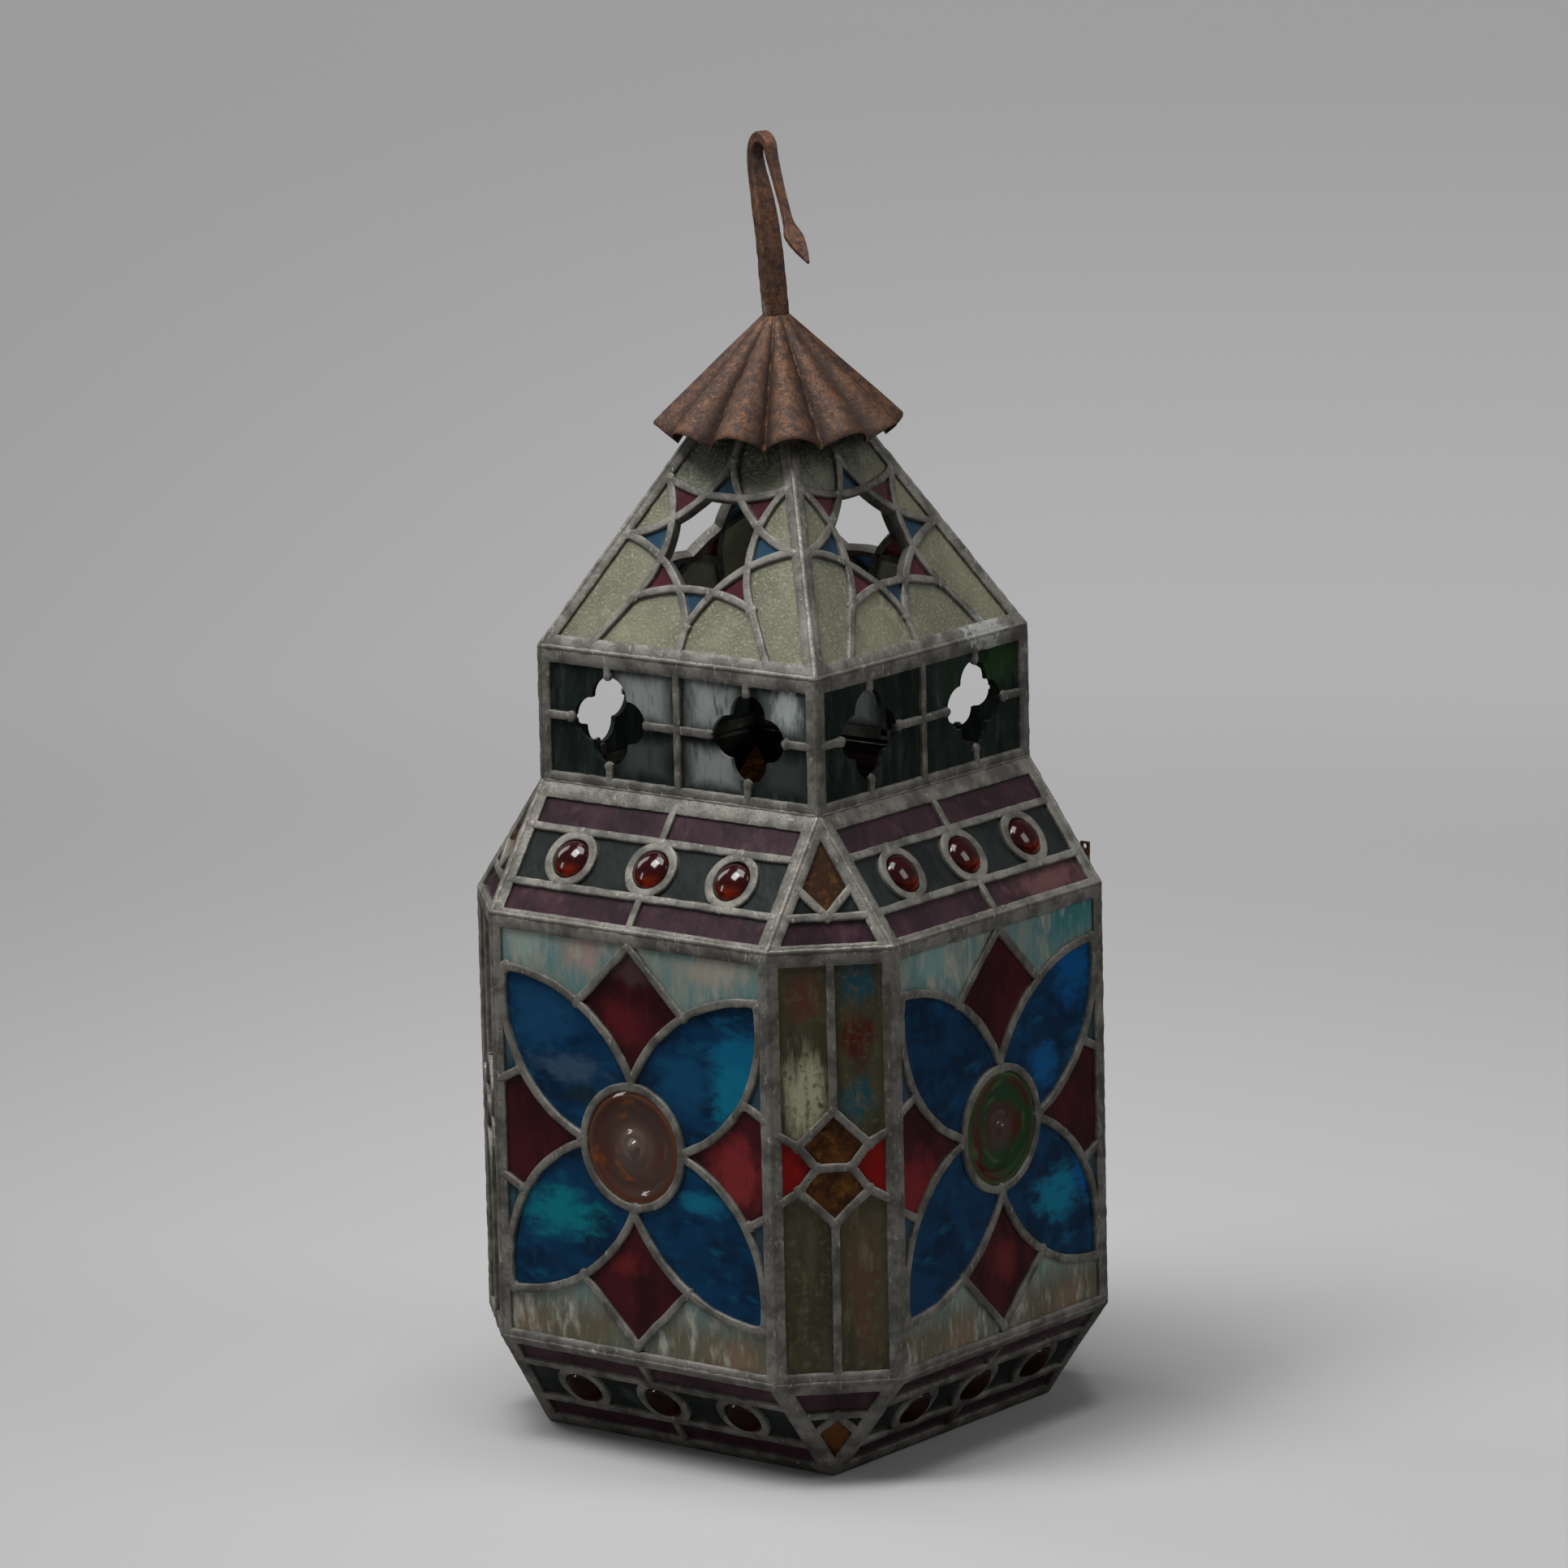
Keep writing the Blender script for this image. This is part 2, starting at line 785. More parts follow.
@dataclass
class LeadWork:
    """The lead of one panel: its rim, its cames and the solder on their joints."""

    panel: Panel
    outline: Sequence[Flat]
    margins: Sequence[float]
    rng: random.Random
    draft: MeshDraft = field(default_factory=MeshDraft)
    depth: float = 6.0
    came_w: float = 4.8
    dome: float = 0.75
    latch_pivot: Triple = (-108.0, 150.0, 188.0)
    latch_sweep: float = 34.0
    rim_crown: Sequence[Flat] = ((0.0, 0.0), (0.12, 0.45), (0.35, 0.7), (0.65, 0.7), (0.9, 0.45), (1.0, 0.0))
    crown: Sequence[Flat] = (
        (1.0, 0.0), (0.96, 0.5), (0.76, 0.9), (0.3, 1.0), (-0.3, 1.0), (-0.76, 0.9), (-0.96, 0.5),
        (-1.0, 0.0), (-0.9, -1.0), (0.9, -1.0),
    )

    def __post_init__(self) -> None:
        """Works out the outline inside the rim and lays the rim."""
        self.window = inset(self.outline, self.margins)
        self.rim()

    def swell(self, place: Vector) -> float:
        """Gives how much of its swell the lead keeps: less where the latch turns over it."""
        past = (place - Vector(self.latch_pivot)).length - self.latch_sweep
        return 0.4 + 0.6 * min(1.0, max(0.0, past / 12))

    def rim(self) -> None:
        """Lays the wide lead round the panel, crowned a little, with an uneven inner edge."""
        count, rings = len(self.outline), []
        for i in range(count):
            a, b = Vector(self.outline[i]), Vector(self.outline[(i + 1) % count])
            c, d = Vector(self.window[i]), Vector(self.window[(i + 1) % count])
            steps = max(3, round((b - a).length / 3))
            for k in range(steps):
                outer, inner = a.lerp(b, k / steps), c.lerp(d, k / steps)
                place = self.panel.point(outer.x, outer.y)
                inner = inner + (inner - outer).normalized() * 0.45 * wander(place, 5) * (k > 0)
                ring = []
                for u, crown in self.rim_crown:
                    spot = outer.lerp(inner, u)
                    foot = self.panel.point(spot.x, spot.y)
                    rough = 0.16 * wander(foot, 4) if crown else 0.0
                    ring.append(self.panel.point(spot.x, spot.y, (crown + rough) * self.swell(foot)))
                ring.append(self.panel.point(inner.x, inner.y, -self.depth))
                ring.append(self.panel.point(outer.x, outer.y, -self.depth))
                rings.append(ring)
        self.draft.loft(rings[::-1], loop=True)

    def came(
        self,
        line: Sequence[Flat],
        width: float = 0.0,
        loop: bool = False,
        keep: Callable[[float, float], bool] | None = None,
    ) -> None:
        """Lays one came along a line, cut where it runs under the rim, with solder at its ends.

        Args:
            line: the points of its middle.
            width: its width, or 0 for the usual one.
            loop: whether it closes on itself.
            keep: says which points stay, besides the rim's own cut.
        """
        hidden = inset(self.outline, [m * 0.35 for m in self.margins])
        runs: list[list[Flat]] = [[]]
        for x, v in line:
            if inside(hidden, x, v) and (keep is None or keep(x, v)):
                runs[-1].append((x, v))
            elif runs[-1]:
                runs.append([])
        for run in runs:
            if len(run) > 1:
                self.lay(run, width or self.came_w, loop)
                if not loop:
                    for x, v in (run[0], run[-1]):
                        self.solder(x, v)

    def lay(self, run: Sequence[Flat], width: float, loop: bool) -> None:
        """Sweeps the came's rounded section along points that stay.

        Args:
            run: the points.
            width: the came's width.
            loop: whether it closes on itself.
        """
        rings, count = [], len(run)
        for i, (x, v) in enumerate(run):
            back = run[i - 1] if i or loop else run[0]
            ahead = run[(i + 1) % count] if i < count - 1 or loop else run[-1]
            along = Vector((ahead[0] - back[0], ahead[1] - back[1])).normalized()
            side = Vector((-along.y, along.x))
            place = self.panel.point(x, v)
            half = width / 2 * (1 + 0.13 * wander(place, 8))
            drift = 0.35 * wander(place + Vector((50, 0, 0)), 14)
            high = self.dome * (1 + 0.3 * wander(place + Vector((0, 70, 0)), 7)) * self.swell(place)
            ring = []
            for share, lift in self.crown:
                reach = half * share + drift
                out = high * lift if lift >= 0 else -self.depth
                ring.append(self.panel.point(x + side.x * reach, v + side.y * reach, out))
            rings.append(ring)
        self.draft.loft(rings, loop=loop)

    def solder(self, x: float, v: float, size: float = 0.0) -> None:
        """Drops solder on a joint, unless it lies under the rim's outer half.

        Args:
            x: the place across the panel.
            v: the place up the panel.
            size: the drop's radius, or 0 for one that suits the came.
        """
        if not inside(inset(self.outline, [m * 0.6 for m in self.margins]), x, v):
            return
        r = size or self.came_w * self.rng.uniform(0.6, 0.8)
        high = (self.dome + self.rng.uniform(0.05, 0.25)) * self.swell(self.panel.point(x, v))
        self.draft.dome(self.panel, (x, v), r, high, 1, self.rng)

    def build(self, name: str, finishes: Sequence[bpy.types.Material], body: str, node: str) -> None:
        """Makes the panel's lead, rides it and lets it stand for its solid.

        Args:
            name: the piece's name.
            finishes: the lead and the solder.
            body: the body that it rides on.
            node: the solid that it stands for.
        """
        piece = self.draft.build(name, finishes)
        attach(piece, body)
        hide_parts(node)
        LOG.info("lead %s on %s", name, body)


@dataclass
class LanternShell:
    """The whole leaded shell: its four kinds of wide panel and its narrow corners.

    A rim gives the lead's width along the bottom, the sides and the top of a panel. The places of cames
    are measured from the middle of their panel, except the heights of rows, bars and tips, from its foot.
    """

    neck_half: float = 100.0
    body_reach: float = 150.0
    base_half: float = 104.0
    skirt_z: float = 63.0
    body_top_z: float = 313.0
    neck_z: float = 382.0
    eaves_z: float = 460.0
    roof_apex_z: float = 646.0
    roof_cut_z: float = 604.0
    ring_r: float = 35.25
    jewel_pitch: float = 58.0
    jewel_ring: float = 14.75
    jewel_came: float = 5.5
    jewel_solder: float = 3.0
    shoulder_rows: Flat = (22.0, 57.0)
    skirt_rows: Flat = (24.5, 56.5)
    body_rim: Triple = (5.0, 7.0, 8.0)
    roof_rim: Triple = (8.0, 7.0, 6.0)
    neck_rim: Triple = (6.0, 7.5, 8.5)
    shoulder_rim: Triple = (4.5, 8.0, 10.0)
    skirt_rim: Triple = (8.0, 7.5, 6.0)
    corner_rim: Triple = (6.0, 6.0, 8.5)
    upper_margins: Triple = (4.0, 5.7, 5.7)
    lower_margins: Triple = (8.0, 6.0, 6.0)
    petal_gap: float = 2.75
    petal_outer: Flat = (10.0, 5.0)
    petal_inner: Flat = (10.0, 45.0)
    diamond_tip: float = 8.0
    diamond_reach: Flat = (38.5, 37.0)
    sliver_low: float = 26.0
    sliver_high: Flat = (18.0, 35.0)
    star_v: float = 72.0
    upright_star: Flat = (60.0, 50.0)
    slanted_star: Flat = (42.0, 36.0)
    upright_sags: Sequence[float] = (10.0, 10.0, 10.0, 10.0)
    slanted_sags: Sequence[float] = (8.0, 12.0, 8.0, 12.0)
    star_feet: float = 67.0
    star_arms: float = 47.0
    vent_x: float = 50.0
    vent_r: float = 25.3
    corner_kite: Flat = (10.0, 33.0)
    corner_elbow: Flat = (20.0, 13.0)
    corner_end: float = 22.0
    corner_bar: float = 19.5
    corner_tip: float = 39.0
    corner_came: float = 4.8
    fold_foot: float = 2.4
    seam_r: float = 2.0
    seam_depth: float = 1.15
    finishes: Sequence[bpy.types.Material] = ()

    def __post_init__(self) -> None:
        """Works out the panels from the shell's sizes."""
        share = (self.roof_apex_z - self.roof_cut_z) / (self.roof_apex_z - self.eaves_z)
        self.roof_cut_half = self.neck_half * share
        self.corner_half = (self.body_reach - self.neck_half) / math.sqrt(2)
        self.corner_reach = (self.body_reach + self.neck_half) / math.sqrt(2)
        self.roof = Panel(self.neck_half, self.eaves_z, self.roof_cut_half, self.roof_cut_z)
        self.neck = Panel(self.neck_half, self.neck_z, self.neck_half, self.eaves_z)
        self.shoulder = Panel(self.body_reach, self.body_top_z, self.neck_half, self.neck_z)
        self.wide = Panel(self.body_reach, self.skirt_z, self.body_reach, self.body_top_z)
        self.skirt = Panel(self.base_half, 0, self.body_reach, self.skirt_z)
        self.strip = Panel(self.corner_reach, self.skirt_z, self.corner_reach, self.body_top_z)
        self.tri_up = Panel(self.corner_reach, self.body_top_z, self.neck_half * math.sqrt(2), self.neck_z)
        self.tri_down = Panel(self.base_half * math.sqrt(2), 0, self.corner_reach, self.skirt_z)

    def work(self, panel: Panel, low: float, high: float, rim: Triple, seed: int) -> LeadWork:
        """Starts the lead of a four-sided panel.

        Args:
            panel: where it lies.
            low: half its width at the bottom.
            high: half its width at the top.
            rim: the rim's width along the bottom, the sides and the top.
            seed: sets its small unevenness.

        Returns:
            The lead, with its rim laid.
        """
        outline = [(-low, 0), (low, 0), (high, panel.length), (-high, panel.length)]
        return LeadWork(panel, outline, (rim[0], rim[1], rim[2], rim[1]), random.Random(seed))

    def build_body(self, side: Side) -> None:
        """Lays a wide body panel: four petals round a rondel, with four diamonds between.

        Args:
            side: the side that it is on.
        """
        panel = self.wide.turned(side.value)
        lead = self.work(panel, self.neck_half, self.neck_half, self.body_rim, 10 + side.value)
        mid, ring = panel.length / 2, self.ring_r
        meet = ring + self.petal_gap
        outer = (self.neck_half - self.petal_outer[0], self.petal_outer[1])
        inner = (self.petal_inner[0], mid - self.petal_inner[1])
        outer_r = math.hypot(outer[0], meet + outer[1])
        inner_r = math.hypot(meet + 2 - inner[0], inner[1] - 3)
        diamond_top = mid - self.diamond_tip

        def clear(x: float, v: float) -> bool:
            """Says whether a place is outside the rondel's ring."""
            return math.hypot(x, v - mid) > ring

        for sx, sy in product((-1, 1), repeat=2):
            # a petal is where two circles overlap, and each circle's arc inside the other is one came
            outer_circle = (sx * outer[0], mid - sy * outer[1], outer_r)
            inner_circle = (sx * inner[0], mid + sy * inner[1], inner_r)
            for (x, v, r), (ox, ov, other_r) in ((outer_circle, inner_circle), (inner_circle, outer_circle)):
                arc = circle(x, v, r, 240)
                start = next(i for i, place in enumerate(arc) if math.dist(place, (ox, ov)) > other_r)
                arc = arc[start:] + arc[:start]
                lead.came([p for p in arc if math.dist(p, (ox, ov)) <= other_r + 0.4], keep=clear)
            diamond_end = (sx * self.diamond_reach[0], mid + sy * (diamond_top - self.diamond_reach[1]))
            lead.came(straight((0, mid + sy * diamond_top), diamond_end), keep=clear)
            side_end = (sx * (self.neck_half - self.sliver_high[0]), mid + sy * self.sliver_high[1])
            lead.came(straight((sx * self.neck_half, mid + sy * self.sliver_low), side_end))
        lead.came(circle(0, mid, ring), loop=True)
        for x, v in ((0, meet), (0, -meet), (meet, 0), (-meet, 0)):
            lead.solder(x, mid + v)
        body = "door" if side is DOOR else "lantern"
        node = "door_cames" if side is DOOR else f"body_cames_{side.label}"
        lead.build(f"{'door' if side is DOOR else 'body'}_lead_{side.label}", self.finishes, body, node)

    def build_roof(self, side: Side) -> None:
        """Lays a roof panel: an upright and a slanted star across each other.

        Args:
            side: the side that it is on.
        """
        panel = self.roof.turned(side.value)
        lead = self.work(panel, self.neck_half, self.roof_cut_half, self.roof_rim, 20 + side.value)
        mid, end = self.star_v, panel.length
        (wide, tall), (x, v) = self.upright_star, self.slanted_star
        upright = [(0, tall), (-wide, 0), (0, -tall), (wide, 0)]
        slanted = [(x, v), (-x, v), (-x, -v), (x, -v)]
        for star, sags in ((upright, self.upright_sags), (slanted, self.slanted_sags)):
            for i, sag in enumerate(sags):
                a, b = star[i], star[(i + 1) % 4]
                lead.came(bowed((a[0], a[1] + mid), (b[0], b[1] + mid), sag))
        lines = [((0, tall), (0, end - mid)), ((0, -tall), (0, -mid))]
        for s in (-1, 1):
            lines += [((s * x, -v), (s * self.star_feet, -mid)), ((s * x, v), (s * self.star_arms, v))]
        for a, b in lines:
            lead.came(straight((a[0], a[1] + mid), (b[0], b[1] + mid)))
        lead.build(f"roof_lead_{side.label}", self.finishes, "lantern", f"roof_cames_{side.label}")

    def build_neck(self, side: Side) -> None:
        """Lays a neck panel: a plain grid that stops at the cut vents.

        Args:
            side: the side that it is on.
        """
        panel = self.neck.turned(side.value)
        lead = self.work(panel, self.neck_half, self.neck_half, self.neck_rim, 30 + side.value)
        mid, vent = panel.length / 2, self.vent_x

        def clear(x: float, v: float) -> bool:
            """Says whether a place is outside both vents."""
            return min(math.dist((x, v), (s * vent, mid)) for s in (-1, 1)) > self.vent_r

        for x in (-vent, 0, vent):
            lead.came(straight((x, 0), (x, 2 * mid)), keep=clear)
        lead.came(straight((-self.neck_half, mid), (self.neck_half, mid)), keep=clear)
        lead.solder(0, mid)
        lead.build(f"neck_lead_{side.label}", self.finishes, "lantern", f"neck_cames_{side.label}")

    def build_band(self, side: Side, name: str, panel: Panel, halves: Flat, rim: Triple, rows: Flat) -> None:
        """Lays a shoulder or skirt panel: a row of jewel rings between two rows of strips.

        Args:
            side: the side that it is on.
            name: which band it is.
            panel: where it lies on the front.
            halves: half its width at the bottom and at the top.
            rim: the rim's width along the bottom, the sides and the top.
            rows: heights of the two long cames on the panel.
        """
        lead = self.work(panel.turned(side.value), halves[0], halves[1], rim, 40 + side.value + len(name))
        low, high = rows
        for v in rows:
            lead.came(straight((-self.neck_half - 20, v), (self.neck_half + 20, v)))
        lead.came(straight((0, 0), (0, low)))
        lead.came(straight((0, high), (0, panel.length)))
        for k in (-1, 0, 1):
            x = k * self.jewel_pitch
            lead.came(circle(x, (low + high) / 2, self.jewel_ring, 48), self.jewel_came, loop=True)
            lead.solder(x, low, self.jewel_solder)
            lead.solder(x, high, self.jewel_solder)
        lead.build(f"{name}_lead_{side.label}", self.finishes, "lantern", f"{name}_cames_{side.label}")

    def build_corner(self, corner: Corner) -> None:
        """Lays a narrow corner: its tall strip and the triangle above and below it.

        Args:
            corner: the corner that it is on.
        """
        half, strip = self.corner_half, self.strip.turned(corner.value)
        lead = self.work(strip, half, half, self.corner_rim, 50 + corner.value)
        mid, (wide, tall) = strip.length / 2, self.corner_kite
        lead.came(straight((-wide, mid), (wide, mid)))
        for sx, sy in product((-1, 1), repeat=2):
            elbow = (sx * self.corner_elbow[0], mid + sy * self.corner_elbow[1])
            lead.came(straight((0, mid + sy * tall), elbow))
            lead.came(straight((sx * wide, mid), elbow))
            lead.came(straight(elbow, (sx * half, mid + sy * self.corner_end)))
        lead.came(straight((0, 0), (0, mid - tall)))
        lead.came(straight((0, mid + tall), (0, 2 * mid)))
        for base, down in ((self.tri_up, False), (self.tri_down, True)):
            panel = base.turned(corner.value)
            end = panel.length
            corners = [(half, end), (-half, end), (0, 0)] if down else [(-half, 0), (half, 0), (0, end)]
            margins = self.lower_margins if down else self.upper_margins
            part = LeadWork(panel, corners, margins, random.Random(60 + corner.value), lead.draft)
            bar = end - self.corner_bar - self.corner_came if down else self.corner_bar
            tip = end - self.corner_tip - self.corner_came if down else self.corner_tip
            part.came(straight((-half, bar), (half, bar)))
            for s in (-1, 1):
                part.came(straight((0, bar), (s * half / 2, tip)))
        lead.build(f"corner_lead_{corner.label}", self.finishes, "lantern", f"corner_cames_{corner.label}")

    def build_folds(self) -> None:
        """Runs solder along every fold of the shell but the door's own edges."""
        n, b, c, cut = self.neck_half, self.body_reach, self.base_half, self.roof_cut_half
        foot, low, top, neck, eaves = self.fold_foot, self.skirt_z, self.body_top_z, self.neck_z, self.eaves_z
        draft = MeshDraft()
        lines: list[tuple[Vector, Vector]] = []
        for k, side in enumerate(Side):
            spin = Matrix.Rotation(math.pi / 2 * k, 3, "Z")
            edges = [
                ((-n, -n, eaves), (n, -n, eaves)),
                ((n, -n, neck), (n, -n, eaves)),
                ((-n, -n, neck), (n, -n, neck)),
                ((n, -b, top), (n, -n, neck)),
                ((b, -n, top), (n, -n, neck)),
                ((n, -b, top), (b, -n, top)),
                ((n, -b, low), (b, -n, low)),
                ((c, -c, foot), (n, -b, low)),
                ((c, -c, foot), (b, -n, low)),
                ((-c, -c, foot), (c, -c, foot)),
                ((n, -n, eaves), (cut, -cut, self.roof_cut_z)),
            ]
            if side is not DOOR:
                edges.append(((-n, -b, top), (n, -b, top)))
                edges.append(((-n, -b, low), (n, -b, low)))
                edges.append(((n, -b, low), (n, -b, top)))
            if side is not BEFORE_DOOR:
                edges.append(((b, -n, low), (b, -n, top)))
            lines += [(spin @ Vector(p), spin @ Vector(q)) for p, q in edges]
        rng = random.Random(7)
        for a, z in lines:
            self.seam(draft, a, z, rng)
        piece = draft.build("fold_solder", [self.finishes[1]], 80)
        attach(piece, "lantern")
        LOG.info("solder along %d folds", len(lines))

    def seam(self, draft: MeshDraft, a: Vector, z: Vector, rng: random.Random) -> None:
        """Sweeps one uneven bead of solder from a to z, set in a little from the fold.

        Args:
            draft: the mesh that takes it.
            a: where it starts.
            z: where it ends.
            rng: shifts its unevenness.
        """
        along = (z - a).normalized()
        outward = Vector((a.x + z.x, a.y + z.y, 0)).normalized()
        side = along.cross(outward).normalized()
        outward = side.cross(along)
        steps = max(4, round((z - a).length / STEP))
        shift = Vector((rng.uniform(0, 90), 0, 0))
        rings = []
        for i in range(steps + 1):
            place = a.lerp(z, i / steps)
            r = self.seam_r * (1 + 0.22 * wander(place + shift, 5) + 0.12 * wander(place + shift, 2))
            middle = place - outward * self.seam_depth
            rings.append([middle + (side * math.cos(t) + outward * math.sin(t)) * r for t in angles(10)])
        draft.loft(rings)

    def build(self) -> None:
        """Lays every panel."""
        n = self.neck_half
        for side in Side:
            self.build_roof(side)
            self.build_neck(side)
            self.build_band(side, "shoulder", self.shoulder, (n, n), self.shoulder_rim, self.shoulder_rows)
            self.build_body(side)
            self.build_band(side, "skirt", self.skirt, (self.base_half, n), self.skirt_rim, self.skirt_rows)
        for corner in Corner:
            self.build_corner(corner)
        self.build_folds()


# ---- cast and spun glass ----


@dataclass
class Rondel:
    """The spun disc in the middle of each wide body panel; its profile runs from the rim to the nib."""

    shell: LanternShell
    finishes: dict[Side, bpy.types.Material]
    profile: Sequence[Flat] = (
        (RONDEL_R, -3.0), (RONDEL_R, -0.6), (33.6, 0.25), (32.2, 0.7), (30.6, 1.5), (29.2, 1.6), (27.6, 1.0),
        (25.8, 0.3), (23, 0.05), (20, -0.35), (17, -0.5), (14, -0.8), (11.5, -0.9), (9.5, -0.2), (8, 0.5),
        (6.6, 0.55), (5.2, 0.25), (4.4, 0.6), (3.6, 2.1), (2.6, 3.1), (1.4, 3.45),
    )

    def spun(self, angle: float, r: float, high: float, side: Side) -> Vector:
        """Gives a place on the disc of one side, a little uneven from the spinning."""
        x, y = r * math.cos(angle), r * math.sin(angle)
        return Vector((x, y, high + 0.12 * wander(Vector((x, y, side.value)), 12)))

    def build(self) -> None:
        """Spins a disc for each side and seats it in its ring."""
        for side in Side:
            draft = MeshDraft()
            draft.loft([[self.spun(t, r, high, side) for t in angles(72)] for r, high in self.profile])
            piece = draft.build(f"rondel_{side.label}", [self.finishes[side]], 75)
            panel = self.shell.wide.turned(side.value)
            piece.matrix_world = panel.seat(0, panel.length / 2, -GLASS_DEPTH)
            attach(piece, "door" if side is DOOR else "lantern")
            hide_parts("door_rondel" if side is DOOR else "body_rondels")
            LOG.info("rondel %s", side.label)


@dataclass
class JewelRow:
    """The domed jewels of the shoulder or the skirt."""

    shell: LanternShell
    name: str
    panel: Panel
    rows: Flat
    finish: bpy.types.Material
    foot_r: float = 13.4
    dome: float = 6.5

    def build(self) -> None:
        """Presses one jewel and seats a copy in each ring."""
        draft, turns, steps = MeshDraft(), 36, 9
        rings = [ring_about_z(self.foot_r, z, turns) for z in (-3, -0.6)]
        for k in range(steps):
            lift = math.pi / 2 * k / steps
            rings.append(ring_about_z(JEWEL_R * 0.985 * math.cos(lift), self.dome * math.sin(lift), turns))
        draft.loft(rings)
        first = draft.build(f"{self.name}_jewel", [self.finish], 60)
        mesh = first.data
        bpy.data.objects.remove(first)
        rng, v = random.Random(len(self.name)), sum(self.rows) / 2
        for side in Side:
            for k in (-1, 0, 1):
                piece = bpy.data.objects.new(f"{self.name}_jewel_{side.label}_{k + 2}", mesh)
                bpy.context.collection.objects.link(piece)
                seat = self.panel.turned(side.value).seat(k * self.shell.jewel_pitch, v, -GLASS_DEPTH)
                tilt = Matrix.Rotation(math.radians(rng.uniform(-2, 2)), 4, "X")
                piece.matrix_world = seat @ tilt
                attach(piece, "lantern")
                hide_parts(f"{self.name}_jewels")
        LOG.info("jewels of the %s", self.name)


# ---- ironwork ----


@dataclass
class PleatedCap:
    """The fluted iron cap with its ragged rim."""

    finish: bpy.types.Material
    crest: Flat = (72.0, 587.0)
    valley: Flat = (62.0, 578.0)
    top_z: float = 646.0
    plateau: float = 8.0
    flutes: int = 12
    sheet: float = 1.2
    bore: float = 4.3

    def point(self, angle: float, share: float, drop: float) -> Vector:
        """Gives a place on the cap.

        Args:
            angle: direction from the axis, in radians.
            share: 0 at the plateau and 1 at the rim.
            drop: depth under the outer face.

        Returns:
            The place, in millimetres.
        """
        lift = abs(math.sin(angle * self.flutes / 2)) ** 0.8
        rim_r = self.valley[0] + (self.crest[0] - self.valley[0]) * lift
        rim_z = self.valley[1] + (self.crest[1] - self.valley[1]) * lift
        tear = wander(Vector((math.cos(angle) * 40, math.sin(angle) * 40, 3)), 6)
        nick = 1.1 * tear * max(0.0, share - 0.9) * 10
        r = self.plateau + share * (rim_r - self.plateau - max(0.0, nick))
        z = self.top_z + share * (rim_z - self.top_z)
        dent = 0.7 * share * wander(Vector((r * math.cos(angle), r * math.sin(angle), 9)), 22)
        return Vector((r * math.cos(angle), r * math.sin(angle), z + dent - drop))

    def build(self) -> None:
        """Beats the sheet: outer face, rim and inner face in one closed skin."""
        draft, turns, steps = MeshDraft(), self.flutes * 16, 22
        rings = [ring_about_z(self.bore, z, turns) for z in (self.top_z - self.sheet, self.top_z)]
        skin = [(k / steps, 0.0) for k in range(steps + 1)]
        # the edge is rolled, so the sheet grows thicker towards the rim
        skin += [(k / steps, self.sheet * (1 + 0.25 * k / steps)) for k in range(steps, -1, -1)]
        rings += [[self.point(t, share, drop) for t in angles(turns)] for share, drop in skin]
        draft.loft(rings, loop=True)
        piece = draft.build("fluted_cap", [self.finish], 65)
        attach(piece, "lantern")
        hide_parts("cap")
        LOG.info("cap")


